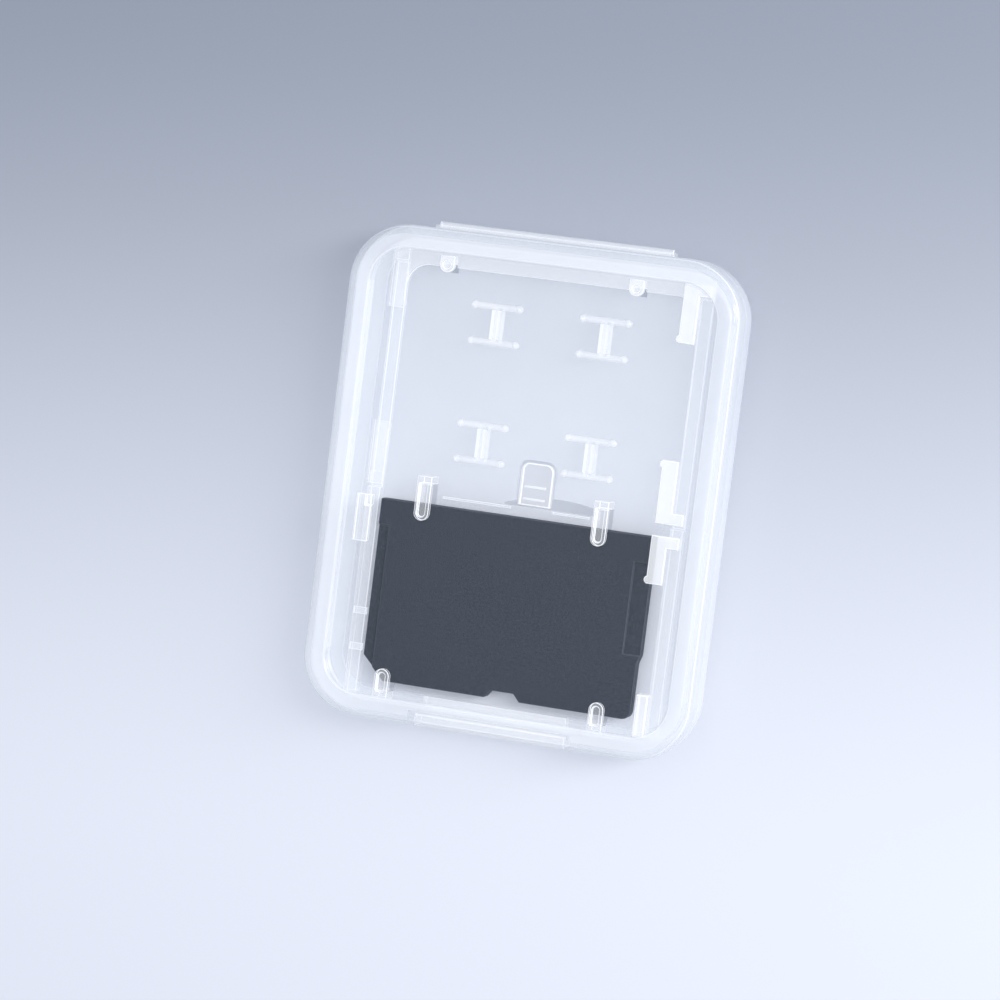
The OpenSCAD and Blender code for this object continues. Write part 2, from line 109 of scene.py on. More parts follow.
@dataclass
class ShaderGraph:
    """Small helper that places and links shader nodes in one tree."""

    tree: bpy.types.NodeTree
    column: int = 0

    def add(self, kind: str, **values: object) -> Node:
        """Place a node and set its sockets or properties.

        Args:
            kind: Blender's identifier of the node.
            **values: Properties in lower case, or socket values by name, underscores
                standing for spaces.

        Returns:
            The new node.
        """
        node = self.tree.nodes.new(kind)
        self.column += 1
        node.location = (190 * (self.column % 9), -240 * (self.column // 9))
        for key, value in values.items():
            if key[0].islower():
                setattr(node, key, value)
            else:
                inlet(node, key.replace("_", " ")).default_value = value
        return node

    def offer(self, name: str, kind: str, value: object = None, side: str = "INPUT") -> None:
        """Give the tree an input, or an output.

        Args:
            name: Name of the socket.
            kind: What it carries, as in Blender's identifier of the socket.
            value: Value of the input when nothing is set.
            side: Blender's identifier of the side.
        """
        made = self.tree.interface.new_socket(
            name, in_out=side, socket_type=f"NodeSocket{kind}"
        )
        if value is not None:
            made.default_value = value

    def link(self, source: Outlet, node: Node, name: str | int) -> None:
        """Link an output to an input.

        Args:
            source: Output, or a node whose first output in use is meant.
            node: Node that has the input.
            name: Name or place of the input.
        """
        if isinstance(source, Node):
            source = next(s for s in source.outputs if s.enabled)
        end = node.inputs[name] if isinstance(name, int) else inlet(node, name)
        self.tree.links.new(source, end)

    def combine(self, operation: str, first: Outlet, second: Outlet) -> Node:
        """Combine two values, kept between 0 and 1.

        Args:
            operation: Blender's identifier of the mathematical operation.
            first: First value.
            second: Second value.

        Returns:
            The node that has the result.
        """
        node = self.add("ShaderNodeMath", operation=operation, use_clamp=True)
        self.link(first, node, 0)
        self.link(second, node, 1)
        return node

    def spread(self, source: Outlet, low: float, high: float, **values: object) -> Node:
        """Spread a value between two others.

        Args:
            source: Value to spread.
            low: Result at its lowest.
            high: Result at its highest.
            **values: Further sockets or properties of the node.

        Returns:
            The node that has the result.
        """
        node = self.add("ShaderNodeMapRange", To_Min=low, To_Max=high, **values)
        self.link(source, node, "Value")
        return node

    def blend(self, share: Outlet, first: Colour, second: Colour) -> Node:
        """Blend two colours.

        Args:
            share: Share of the second colour.
            first: Colour at 0.
            second: Colour at 1.

        Returns:
            The node that has the blend.
        """
        node = self.add("ShaderNodeMix", data_type="RGBA", A=first, B=second)
        self.link(share, node, 0)
        return node


def open_material(name: str) -> tuple[Material, ShaderGraph, Node]:
    """Make a material with an empty graph.

    Args:
        name: Name of the material.

    Returns:
        The material, its graph and its output node.
    """
    material = bpy.data.materials.new(name)
    material.use_nodes = True
    material.node_tree.nodes.clear()
    graph = ShaderGraph(material.node_tree)
    return material, graph, graph.add("ShaderNodeOutputMaterial")


def moulded_skin() -> bpy.types.NodeTree:
    """Build the shader group of a moulded surface once: faint mottle and fine grain.

    Returns:
        The group with inputs Mottle Scale, Grain Scale and Depth, and outputs Mottle,
        Grain and Height.
    """
    known = bpy.data.node_groups.get("moulded_skin")
    if known:
        return known
    tree = bpy.data.node_groups.new("moulded_skin", "ShaderNodeTree")
    graph = ShaderGraph(tree)
    for name in ("Mottle Scale", "Grain Scale", "Depth"):
        graph.offer(name, "Float")
    for name in ("Mottle", "Grain", "Height"):
        graph.offer(name, "Float", side="OUTPUT")
    inside = graph.add("NodeGroupInput")
    result = graph.add("NodeGroupOutput")
    place = graph.add("ShaderNodeTexCoord")
    mottle = graph.add("ShaderNodeTexNoise", Detail=3.0, Roughness=0.55)
    grain = graph.add("ShaderNodeTexNoise", Detail=2.0, Roughness=0.6)
    for noise, scale in ((mottle, "Mottle Scale"), (grain, "Grain Scale")):
        graph.link(outlet(place, "Object"), noise, "Vector")
        graph.link(outlet(inside, scale), noise, "Scale")
    clouds = graph.spread(
        mottle, 0.0, 1.0, interpolation_type="SMOOTHSTEP", From_Min=0.2, From_Max=0.8
    )
    specks = graph.spread(grain, 0.0, 1.0, From_Min=0.3, From_Max=0.7)
    graph.link(clouds, result, "Mottle")
    graph.link(specks, result, "Grain")
    graph.link(graph.combine("MULTIPLY", grain, outlet(inside, "Depth")), result, "Height")
    return tree


@dataclass(frozen=True)
class Finish:
    """Finish with the moulded skin: its roughness is mottled and its grain raised."""

    name: str
    _: KW_ONLY
    roughness: float = 0.2
    unevenness: Point = (0.8, 1.25)
    mottle_scale: float = 140.0
    grain_scale: float = 3500.0
    grain_depth: float = 0.25
    bump: float = 0.12
    bump_height: float = 2e-5

    def build(self) -> Material:
        """Make the material.

        Returns:
            The finish, ready for a material slot.
        """
        material, graph, out = open_material(self.name)
        skin = graph.add(
            "ShaderNodeGroup",
            node_tree=moulded_skin(),
            Mottle_Scale=self.mottle_scale,
            Grain_Scale=self.grain_scale,
            Depth=self.grain_depth,
        )
        shader = self._shade(graph, skin)
        rough = (self.roughness * share for share in self.unevenness)
        graph.link(graph.spread(outlet(skin, "Mottle"), *rough), shader, "Roughness")
        bump = graph.add("ShaderNodeBump", Strength=self.bump, Distance=self.bump_height)
        graph.link(outlet(skin, "Height"), bump, "Height")
        graph.link(bump, shader, "Normal")
        graph.link(shader, out, "Surface")
        return material

    def _shade(self, graph: ShaderGraph, skin: Node) -> Node:
        """Place the shader with its colour.

        Args:
            graph: Graph of the material.
            skin: Its group node.

        Returns:
            The Principled shader.
        """
        raise NotImplementedError


@dataclass(frozen=True)
class PlasticFinish(Finish):
    """Translucent polypropylene: see-through face on, milky and brighter edge on, with painted
    light glowing from within.
    """

    tint: Colour
    face_alpha: float
    edge_alpha: float
    edge_start: float = 0.78
    coat: float = 0.6
    pass_alpha: float = 0.2
    # Strength of emission in the tint: painted light that stands in for light scattered inside
    # the plastic.
    painted_glow: float = 0.0
    ior: float = 1.49
    coat_roughness: float = 0.06
    cloud: float = 1.04
    haze: Point = (0.98, 1.02)

    def _shade(self, graph: ShaderGraph, skin: Node) -> Node:
        """Place the shader with its tint, its see-through faces and its emission, which is
        painted light.

        Args:
            graph: Graph of the material.
            skin: Its group node.

        Returns:
            The Principled shader.
        """
        # The emission is painted light: the plastic gives off its tint as if lit from within.
        shader = graph.add(
            "ShaderNodeBsdfPrincipled",
            IOR=self.ior,
            Coat_Weight=self.coat,
            Coat_Roughness=self.coat_roughness,
            Emission_Color=self.tint,
            Emission_Strength=self.painted_glow,
        )
        graph.link(self._alpha(graph, skin), shader, "Alpha")
        lighter = tuple(min(1.0, c * self.cloud) for c in self.tint)
        cloud = graph.blend(outlet(skin, "Mottle"), self.tint, lighter)
        graph.link(cloud, shader, "Base Color")
        return shader

    def _alpha(self, graph: ShaderGraph, skin: Node) -> Node:
        """Work out how much the plastic hides what lies behind it.

        Args:
            graph: Graph of the material.
            skin: Its group node.

        Returns:
            The node that has the alpha value: higher at a grazing view and on milky faces,
            and lower for shadow and diffuse rays, so that light reaches the inside.
        """
        facing = graph.add("ShaderNodeLayerWeight", Blend=0.5)
        grazing = graph.spread(
            outlet(facing, "Facing"),
            0.0,
            1.0,
            interpolation_type="SMOOTHSTEP",
            From_Min=self.edge_start,
        )
        milk = graph.add("ShaderNodeAttribute", attribute_name=MILK)
        most = graph.combine("MAXIMUM", grazing, outlet(milk, "Fac"))
        veil = graph.spread(most, self.face_alpha, self.edge_alpha)
        uneven = graph.spread(outlet(skin, "Mottle"), *self.haze)
        alpha = graph.combine("MULTIPLY", veil, uneven)
        ray = graph.add("ShaderNodeLightPath")
        faint = graph.combine(
            "MAXIMUM", outlet(ray, "Is Shadow Ray"), outlet(ray, "Is Diffuse Ray")
        )
        return graph.combine("MULTIPLY", alpha, graph.spread(faint, 1.0, self.pass_alpha))


@dataclass(frozen=True)
class SolidFinish(Finish):
    """Opaque finish with a fine grain, for the card and its contacts."""

    colour: Colour
    light_colour: Colour
    metallic: float = 0.0
    specular: float = 0.3
    # Paler colour of the rounded edges: a painted highlight.
    edge_highlight_colour: Colour = (0.30, 0.34, 0.42, 1.0)
    _: KW_ONLY
    unevenness: Point = (0.9, 1.1)
    mottle_scale: float = 120.0
    grain_scale: float = 1900.0
    grain_depth: float = 1.0
    bump: float = 0.35
    bump_height: float = 3e-5

    def _shade(self, graph: ShaderGraph, skin: Node) -> Node:
        """Place the shader with its grained colour and a painted highlight on its rounded
        edges.

        Args:
            graph: Graph of the material.
            skin: Its group node.

        Returns:
            The Principled shader.
        """
        shader = graph.add(
            "ShaderNodeBsdfPrincipled",
            Metallic=self.metallic,
            Specular_IOR_Level=self.specular,
        )
        grained = graph.blend(outlet(skin, "Grain"), self.colour, self.light_colour)
        # Painted highlight: faces with milkiness, the card's rounds, blend towards the paler
        # edge colour.
        edge = graph.add("ShaderNodeAttribute", attribute_name=MILK)
        painted_edge_highlight = graph.blend(outlet(edge, "Fac"), self.colour, self.edge_highlight_colour)
        graph.link(grained, painted_edge_highlight, "A")
        graph.link(painted_edge_highlight, shader, "Base Color")
        return shader


@dataclass(frozen=True)
class FloorFinish:
    """Pale studio floor that grows lighter towards the latch side; its darker far end is
    painted shade.
    """

    # The far colour is painted shade, the near colour the lit floor.
    far: Colour = (0.285, 0.318, 0.385, 1.0)
    near: Colour = (0.82, 0.84, 0.91, 1.0)
    far_y: float = 0.062
    near_y: float = -0.045
    turn_deg: float = -4.0

    def build(self) -> Material:
        """Make the material.

        Returns:
            The floor's material.
        """
        material, graph, out = open_material("studio_floor")
        shader = graph.add("ShaderNodeBsdfPrincipled", Roughness=0.6)
        place = graph.add("ShaderNodeTexCoord")
        turn = graph.add(
            "ShaderNodeMapping", Rotation=(0.0, 0.0, math.radians(self.turn_deg))
        )
        graph.link(outlet(place, "Object"), turn, "Vector")
        split = graph.add("ShaderNodeSeparateXYZ")
        graph.link(turn, split, "Vector")
        # Painted shade: the colour runs from the dark far colour to the pale near one across Y,
        # turned a little.
        painted_shade_ramp = graph.spread(
            outlet(split, "Y"),
            0.0,
            1.0,
            interpolation_type="SMOOTHSTEP",
            From_Min=self.far_y,
            From_Max=self.near_y,
        )
        graph.link(graph.blend(painted_shade_ramp, self.far, self.near), shader, "Base Color")
        side = graph.add("ShaderNodeNewGeometry")
        graph.link(graph.spread(outlet(side, "Backfacing"), 1.0, 0.0), shader, "Alpha")
        graph.link(shader, out, "Surface")
        return material


class Finishes:
    """Every finish of the case, built once."""

    def __init__(self) -> None:
        """Build the materials."""
        self.frosted = PlasticFinish(
            "frosted_polypropylene",
            (0.89, 0.915, 0.97, 1.0),
            0.23,
            0.92,
            edge_start=0.88,
            grain_depth=0.05,
            painted_glow=0.11,
            pass_alpha=0.35,
        ).build()
        self.ribs = PlasticFinish(
            "frosted_ribs", (0.92, 0.94, 0.99, 1.0), 0.2, 0.95, painted_glow=0.1
        ).build()
        self.clear = PlasticFinish(
            "clear_polypropylene",
            (0.91, 0.93, 0.98, 1.0),
            0.012,
            0.9,
            edge_start=0.9,
            grain_depth=0.05,
            coat=1.0,
            pass_alpha=0.65,
        ).build()
        self.film = PlasticFinish(
            "clear_film", (0.95, 0.965, 1.0, 1.0), 0.30, 1.0, roughness=0.15, painted_glow=0.06
        ).build()
        # A lighter, more opaque and glowing copy of the clear plastic, which is painted light:
        # the hooks and the corner stop on the right side take it because they stand in the
        # right key's light. The top fingers wear it too.
        self.bright = PlasticFinish(
            "lit_milky_hooks", (0.96, 0.975, 1.0, 1.0), 0.38, 1.0, roughness=0.15, painted_glow=0.11
        ).build()
        self.prong = PlasticFinish(
            "clear_prongs", (0.96, 0.975, 1.0, 1.0), 0.15, 1.0, roughness=0.12, painted_glow=0.06
        ).build()
        self.card = SolidFinish(
            "slate_card",
            (0.017, 0.025, 0.039, 1.0),
            (0.041, 0.053, 0.074, 1.0),
            roughness=0.6,
            grain_scale=4200.0,
        ).build()
        self.metal = SolidFinish(
            "gold_contacts",
            (0.72, 0.50, 0.20, 1.0),
            (0.82, 0.60, 0.28, 1.0),
            roughness=0.3,
            metallic=1.0,
            bump=0.1,
            specular=0.5,
        ).build()


# --------------------------------------------------------------------------- mesh tools


def place_mesh(name: str, mesh: bpy.types.Mesh) -> Thing:
    """Link a mesh into the scene as an object at the origin.

    Args:
        name: Name of the object.
        mesh: Its mesh.

    Returns:
        The new object.
    """
    piece = bpy.data.objects.new(name, mesh)
    bpy.context.scene.collection.objects.link(piece)
    return piece


def mesh_object(name: str, work: bmesh.types.BMesh) -> Thing:
    """Turn a closed mesh into an object with its faces outward.

    Args:
        name: Name of the object.
        work: Mesh to use up.

    Returns:
        The object, linked into the scene.
    """
    bmesh.ops.recalc_face_normals(work, faces=work.faces)
    mesh = bpy.data.meshes.new(name)
    work.to_mesh(mesh)
    work.free()
    return place_mesh(name, mesh)


def bake(piece: Thing) -> Thing:
    """Turn an object with modifiers into a plain mesh object.

    Args:
        piece: Object whose modifiers are to be applied.

    Returns:
        The same object with the evaluated mesh and no modifier.
    """
    bpy.context.view_layer.update()
    graph = bpy.context.evaluated_depsgraph_get()
    mesh = bpy.data.meshes.new_from_object(piece.evaluated_get(graph))
    piece.modifiers.clear()
    old = piece.data
    piece.data = mesh
    bpy.data.meshes.remove(old)
    mesh.name = piece.name
    return piece


def smooth_by_area(piece: Thing, sharp_deg: float = 40.0) -> Thing:
    """Shade a piece smooth, with normals that keep its large faces flat.

    Args:
        piece: Object to shade.
        sharp_deg: Edges that turn by more than this stay sharp.

    Returns:
        The same object.
    """
    mesh = piece.data
    work = bmesh.new()
    work.from_mesh(mesh)
    for face in work.faces:
        face.smooth = True
    for edge in work.edges:
        if len(edge.link_faces) == 2:
            edge.smooth = edge.calc_face_angle(0.0) < math.radians(sharp_deg)
    work.to_mesh(mesh)
    work.free()
    even = piece.modifiers.new("even_normals", "WEIGHTED_NORMAL")
    even.mode = "FACE_AREA"
    even.weight = 60
    even.keep_sharp = True
    return bake(piece)


def soften(
    piece: Thing,
    width: float,
    milk: float = 0.85,
    weld: float = 2e-7,
    flat_deg: float = 0.4,
    top_only: bool = False,
) -> Thing:
    """Merge a piece's flat faces, round its sharp edges and make the rounds milky.

    Args:
        piece: Solid to soften.
        width: Width of the rounds in millimetres.
        milk: Milkiness of the rounds.
        weld: Distance in metres within which corners become one.
        flat_deg: Edges that turn by less than this go first.
        top_only: Round only the edges of the top face, at full width.

    Returns:
        The same object, shaded smooth.
    """
    work = bmesh.new()
    work.from_mesh(piece.data)
    bmesh.ops.remove_doubles(work, verts=work.verts, dist=weld)
    bmesh.ops.dissolve_limit(
        work, angle_limit=math.radians(flat_deg), verts=work.verts, edges=work.edges
    )
    limit = math.radians(SHARP_DEG)
    edges = [e for e in work.edges if len(e.link_faces) == 2 and e.calc_face_angle(0.0) > limit]
    if top_only:
        crest = max(v.co.z for v in work.verts) - TOUCH
        edges = [e for e in edges if min(v.co.z for v in e.verts) > crest]
    layer = work.faces.layers.float.get(MILK) or work.faces.layers.float.new(MILK)
    rounded = bmesh.ops.bevel(
        work,
        geom=edges,
        offset=width * MM,
        segments=BEVEL_STEPS,
        profile=0.5,
        affect="EDGES",
        clamp_overlap=not top_only,
    )
    for face in rounded["faces"]:
        face[layer] = milk
    bmesh.ops.recalc_face_normals(work, faces=work.faces)
    work.to_mesh(piece.data)
    work.free()
    return smooth_by_area(piece)


def finish_piece(
    piece: Thing,
    material: Material,
    body: Body,
    stands_for: Iterable[str] = (),
) -> Thing:
    """Give a piece its material, its body and the nodes that it stands for.

    Args:
        piece: Finished object at the origin.
        material: Its material.
        body: Rigid body that it rides on.
        stands_for: Nodes of the frame that it replaces.

    Returns:
        The same object.
    """
    piece.data.materials.clear()
    piece.data.materials.append(material)
    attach(piece, body.value)
    names = list(stands_for)
    if names:
        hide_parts(*names)
    LOG.info("%s: %d faces on %s", piece.name, len(piece.data.polygons), body.value)
    return piece


# --------------------------------------------------------------------------- the case


@dataclass
class CaseSizes:
    """Sizes of the case in millimetres, as in its solids."""

    width: float = 43.8
    length: float = 54.0
    thickness: float = 7.0
    corner: float = 6.5
    edge: float = 1.0
    wall: float = 1.2
    rim: float = 2.6
    recess: float = 0.8
    panel: float = 1.0
    mid_y: float = -0.37

    @property
    def floor(self) -> float:
        """Height of the tray's floor."""
        return self.recess + self.panel

    @property
    def latch_y(self) -> float:
        """Outer face of the latch end."""
        return self.mid_y - self.length / 2


@dataclass
class HalfShell:
    """Moulded half of the case: a wall with a wide rim swept round a sunk window."""

    sizes: CaseSizes
    front: bool = False
    corner_steps: int = 20
    arc_steps: int = 8
    # Milkiness of one strip on the outer edge's round: a painted highlight line.
    painted_glint: float = 0.85
    inner_fade: float = 0.75
    flat: float = 0.75
    slope: float = 0.15
    flat_milks: tuple[float, ...] = (0.0, 0.10, 0.40, 0.5, 0.12, 0.08, 0.0)

    def section(self) -> list[Triple]:
        """Go round the wall's section from the window's outer face to its inner face.

        Returns:
            Inset from the outline, height above the back, and milkiness of the face that
            follows, for each loop of the sweep.
        """
        s = self.sizes
        floor, middle = s.floor, s.thickness / 2
        # Inset, height, radius of the round and milkiness of the round.
        corner_list = [
            (s.rim + self.slope, s.recess, 0.16, 0.15),
            (s.rim, 0.0, 0.3, 0.75),
            (0.0, 0.0, s.edge, 0.2),
            (0.0, middle, 0.12, 0.2),
            (s.wall, middle, 0.1, 0.15),
            (s.wall, floor, 0.32, 0.3),
        ]
        inner = s.rim + self.flat
        path = [(inner, s.recess), *((a, b) for a, b, _, _ in corner_list), (inner, floor)]
        flats = self.flat_milks
        loops: list[Triple] = [(*path[0], flats[0])]
        for i, (_, _, radius, milk) in enumerate(corner_list):
            points = self._round(path[i], path[i + 1], path[i + 2], radius)
            fade = self.inner_fade if i == 1 else 0.0
            loops += [
                (a, b, milk * (1 - fade * (1 - k / self.arc_steps)))
                for k, (a, b) in enumerate(points[:-1])
            ]
            # A strip in the middle of the outer edge's round gets its own high milkiness: a
            # painted highlight line that runs round the case.
            if radius == s.edge:
                middle_arc = -self.arc_steps // 2
                loops[middle_arc] = (*loops[middle_arc][:2], self.painted_glint)
            loops.append((*points[-1], flats[i + 1]))
        loops.append((*path[-1], 0.0))
        return loops

    def _round(self, before: Point, corner: Point, after: Point, radius: float) -> list[Point]:
        """Round one corner of the section.

        Args:
            before: Corner before it.
            corner: Corner to round.
            after: Corner after it.
            radius: Radius of the round in millimetres.

        Returns:
            Points of the arc, from the side of before to that of after.
        """
        c, a, b = Vector(corner), Vector(before), Vector(after)
        u, v = (a - c).normalized(), (b - c).normalized()
        half = u.angle(v) / 2
        centre = c + (u + v).normalized() * (radius / math.sin(half))
        start = c + u * (radius / math.tan(half)) - centre
        end = c + v * (radius / math.tan(half)) - centre
        sweep = start.angle(end)
        points = []
        for i in range(self.arc_steps + 1):
            t = i / self.arc_steps
            ray = start * math.sin((1 - t) * sweep) + end * math.sin(t * sweep)
            points.append(tuple(centre + ray / math.sin(sweep)))
        return points

    def outline(self, inset: float) -> list[Point]:
        """Follow the case's outline at an inset.

        Args:
            inset: Distance inward in millimetres.

        Returns:
            Points round the outline, anticlockwise.
        """
        s = self.sizes
        radius = s.corner - inset
        x, y = s.width / 2 - s.corner, s.length / 2 - s.corner
        points = []
        for quarter, (cx, cy) in enumerate(((x, y), (-x, y), (-x, -y), (x, -y))):
            for i in range(self.corner_steps + 1):
                a = math.pi / 2 * (quarter + i / self.corner_steps)
                points.append((cx + radius * math.cos(a), s.mid_y + cy + radius * math.sin(a)))
        return points

    def build(self, name: str) -> Thing:
        """Sweep the section round the outline and close it with the window.

        Args:
            name: Name of the piece.

        Returns:
            The closed half without its openings.
        """
        work = bmesh.new()
        layer = work.faces.layers.float.new(MILK)
        rings = []
        section = self.section()
        for inset, height, _ in section:
            z = self.sizes.thickness - height if self.front else height
            around = self.outline(inset)
            rings.append([work.verts.new((x * MM, y * MM, z * MM)) for x, y in around])
        for ring, following, (_, _, milk) in zip(rings, rings[1:], section):
            for i in range(len(ring)):
                j = (i + 1) % len(ring)
                face = work.faces.new((ring[i], ring[j], following[j], following[i]))
                face[layer] = milk
        work.faces.new(rings[0])
        work.faces.new(rings[-1])
        return mesh_object(name, work)


def prism(name: str, points: list[Point], low: float, high: float) -> Thing:
    """Make an upright prism.

    Args:
        name: Name of the prism.
        points: Outline in millimetres.
        low: Height of its lower end in millimetres.
        high: Height of its upper end in millimetres.

    Returns:
        The closed prism.
    """
    work = bmesh.new()
    lower = [work.verts.new((x * MM, y * MM, low * MM)) for x, y in points]
    upper = [work.verts.new((x * MM, y * MM, high * MM)) for x, y in points]
    for i in range(len(points)):
        j = (i + 1) % len(points)
        work.faces.new((lower[i], lower[j], upper[j], upper[i]))
    work.faces.new(lower)
    work.faces.new(upper)
    return mesh_object(name, work)


def rectangle(x0: float, y0: float, x1: float, y1: float) -> list[Point]:
    """Corners of a rectangle, anticlockwise."""
    return [(x0, y0), (x1, y0), (x1, y1), (x0, y1)]


def rounded_bar(
    x: float, low: float, tip: float, half: float, corner: float, steps: int = 8
) -> list[Point]:
    """Outline of a bar along Y with round corners at its tip.

    Args:
        x: Its middle.
        low: Its square end.
        tip: Its far end.
        half: Half its width.
        corner: Radius of its far corners.
        steps: Steps of each corner.

    Returns:
        Its points, anticlockwise.
    """
    points = [(x - half, low), (x + half, low)]
    for side, first in ((1, 0.0), (-1, 90.0)):
        cx, cy = x + side * (half - corner), tip - corner
        for i in range(steps + 1):
            a = math.radians(first + 90.0 * i / steps)
            points.append((cx + corner * math.cos(a), cy + corner * math.sin(a)))
    return points


def cut(piece: Thing, cutters: Iterable[Thing]) -> Thing:
    """Cut prisms out of a piece.

    Args:
        piece: Solid to cut.
        cutters: Prisms, which are removed afterwards.

    Returns:
        The same object.
    """
    for cutter in list(cutters):
        modifier = piece.modifiers.new("cut", "BOOLEAN")
        modifier.operation = "DIFFERENCE"
        modifier.solver = "EXACT"
        modifier.object = cutter
        bake(piece)
        mesh = cutter.data
        bpy.data.objects.remove(cutter)
        bpy.data.meshes.remove(mesh)
    return piece


class GeometryTree(ShaderGraph):
    """Geometry Nodes tree whose named inputs are the sizes of what it makes."""

    def __init__(self, name: str, sizes: dict[str, float | int | tuple[float, ...]]) -> None:
        """Open a tree with one input for each size and one for the material.

        Args:
            name: Name of the tree.
            sizes: Size in millimetres, or a number of pieces, of each input by its name.
        """
        super().__init__(bpy.data.node_groups.new(name, "GeometryNodeTree"))
        self.values = {}
        self.offer("Geometry", "Geometry", side="OUTPUT")
        for key, size in sizes.items():
            if isinstance(size, tuple):
                kind, value = "Vector", tuple(v * MM for v in size)
            elif isinstance(size, int):
                kind, value = "Int", size
            else:
                kind, value = "Float", size * MM
            self.values[key] = value
            self.offer(key, kind, value)
        self.offer("Finish", "Material")
        self.inside = self.add("NodeGroupInput")
        self.result = self.add("NodeGroupOutput")

    def size(self, name: str, node: Node, target: str) -> None:
        """Feed one of the tree's inputs to a node's input."""
        self.link(outlet(self.inside, name), node, target)

    def store_milk(self, source: Outlet, value: float) -> Node:
        """Store one milkiness on the faces of a mesh.

        Args:
            source: Geometry of the mesh.
            value: Its milkiness.

        Returns:
            The node that has the mesh with the attribute.
        """
        store = self.add(
            "GeometryNodeStoreNamedAttribute",
            data_type="FLOAT",
            domain="FACE",
            Name=MILK,
            Value=value,
        )
        self.link(source, store, "Geometry")
        return store

    def line(self, first: str, second: str, mode: str = "OFFSET", count: int = 2) -> Node:
        """Place a row of points.

        Args:
            first: Input that has the place of the first point.
            second: Input that has the step, or the place of the last point.
            mode: Blender's identifier for what the second input means.
            count: Number of points.

        Returns:
            The node that has the points.
        """
        row = self.add("GeometryNodeMeshLine", mode=mode, Count=count)
        self.size(first, row, "Start Location")
        self.size(second, row, "Offset")
        return row

    def repeat(self, points: Outlet, shape: Outlet) -> Node:
        """Put a shape on every point.

        Args:
            points: Points to put it on.
            shape: Geometry to repeat.

        Returns:
            The node that has the instances.
        """
        put = self.add("GeometryNodeInstanceOnPoints")
        self.link(points, put, "Points")
        self.link(shape, put, "Instance")
        return put

    def move(self, source: Outlet, place: str) -> Node:
        """Move a geometry.

        Args:
            source: Geometry to move.
            place: Input that has the distance.

        Returns:
            The node that has the moved geometry.
        """
        shift = self.add("GeometryNodeTransform")
        self.link(source, shift, "Geometry")
        self.size(place, shift, "Translation")
        return shift

    def realize(self, source: Outlet) -> Node:
        """Make plain geometry of instances.

        Args:
            source: Instances.

        Returns:
            The node that has the plain geometry.
        """
        real = self.add("GeometryNodeRealizeInstances")
        self.link(source, real, "Geometry")
        return real

    def close(self, source: Outlet) -> None:
        """End the tree in Realize Instances and Set Material.

        Args:
            source: Geometry that the tree puts out.
        """
        dress = self.add("GeometryNodeSetMaterial")
        self.link(self.realize(source), dress, "Geometry")
        self.size("Finish", dress, "Material")
        self.link(dress, self.result, "Geometry")

    def grow(self, name: str, material: Material) -> Thing:
        """Run the tree and keep its result as a plain mesh.

        Args:
            name: Name of the piece.
            material: Finish of the piece.

        Returns:
            The new piece without a modifier.
        """
        piece = place_mesh(name, bpy.data.meshes.new(name))
        modifier = piece.modifiers.new("make", "NODES")
        modifier.node_group = self.tree
        for item in self.tree.interface.items_tree:
            if item.in_out == "INPUT":
                modifier[item.identifier] = (
                    material if item.name == "Finish" else self.values[item.name]
                )
        return bake(piece)


def box_row(
    name: str, count: int, size: Triple, first: Triple, pitch: float, milk: float
) -> GeometryTree:
    """Build the tree of a row of boxes along Y.

    Args:
        name: Name of the tree.
        count: Number of boxes.
        size: Size of one box in millimetres.
        first: Middle of the first box in millimetres.
        pitch: Distance between two boxes in millimetres.
        milk: Milkiness of the boxes.

    Returns:
        The closed tree.
    """
    tree = GeometryTree(
        name,
        {
            "Boxes": count,
            "Box Size": size,
            "First Box": first,
            "Pitch": (0.0, pitch, 0.0),
        },
    )
    row = tree.line("First Box", "Pitch")
    tree.size("Boxes", row, "Count")
    box = tree.add("GeometryNodeMeshCube")
    tree.size("Box Size", box, "Size")
    tree.close(tree.repeat(row, tree.store_milk(box, milk)))
    return tree


@dataclass
class SubAssembly:
    """Group of pieces that share finishes and the nodes that they stand for."""

    finishes: Finishes
    nodes: dict[str, Thing]
    sizes: CaseSizes = field(default_factory=CaseSizes)

    def refine(
        self,
        member: str,
        body: Body,
        slot: Slot,
        material: Material,
        width: float,
        milk: float = 0.85,
        top_only: bool = False,
    ) -> None:
        """Round one node's edges, dress it and let it stand for the node.

        Args:
            member: Node to copy.
            body: Rigid body that it rides on.
            slot: Material slot, not used.
            material: Its finish.
            width: Width of the rounded edges in millimetres.
            milk: Milkiness of the rounded edges.
            top_only: Round only the edges of its top face, at full width.
        """
        piece = place_mesh(f"soft_{member}", self.nodes[member].data.copy())
        soften(piece, width, milk, weld=1e-7, flat_deg=0.6, top_only=top_only)
        finish_piece(piece, material, body, [member])


